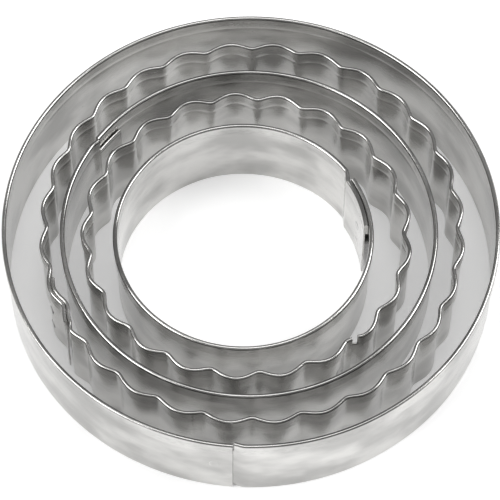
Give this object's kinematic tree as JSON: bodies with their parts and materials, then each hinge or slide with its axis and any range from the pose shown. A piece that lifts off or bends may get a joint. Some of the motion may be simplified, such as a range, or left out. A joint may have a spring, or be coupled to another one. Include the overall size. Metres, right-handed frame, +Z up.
{
  "type": "biscuit cutter set",
  "caption": "Nested set of round biscuit cutters, plain and fluted sheet metal rings with folded rims and spot-welded lap seams, each lifting out of the next.",
  "frame": {"origin": "centre of the outer ring, in the plane that the cutting edges rest on", "axes": "+Z up from the cutting edges to the folded rims, -Y to the front, +X to the right"},
  "size_m": [0.08, 0.08, 0.015],
  "materials": {
    "sheet_metal": "bright rolled sheet, lightly brushed near the folded rim",
    "weld_metal": "dull pressed spot weld marks"
  },
  "bodies": {
    "outer_ring": {"outer_plain_band": "sheet_metal", "outer_seam_welds": "weld_metal"},
    "large_fluted_ring": {"large_fluted_band": "sheet_metal", "large_fluted_seam_welds": "weld_metal"},
    "middle_ring": {"middle_plain_band": "sheet_metal", "middle_seam_welds": "weld_metal"},
    "small_fluted_ring": {"small_fluted_band": "sheet_metal", "small_fluted_seam_welds": "weld_metal"},
    "inner_ring": {"inner_plain_band": "sheet_metal", "inner_seam_welds": "weld_metal"}
  },
  "joints": [
    {"name": "large_fluted_lift", "type": "slide", "parent": "outer_ring", "child": "large_fluted_ring", "axis": [0, 0, 1], "range_m": [0, 0.02]},
    {"name": "middle_lift", "type": "slide", "parent": "outer_ring", "child": "middle_ring", "axis": [0, 0, 1], "range_m": [0, 0.035]},
    {"name": "small_fluted_lift", "type": "slide", "parent": "outer_ring", "child": "small_fluted_ring", "axis": [0, 0, 1], "range_m": [0, 0.05]},
    {"name": "inner_lift", "type": "slide", "parent": "outer_ring", "child": "inner_ring", "axis": [0, 0, 1], "range_m": [0, 0.065]}
  ]
}
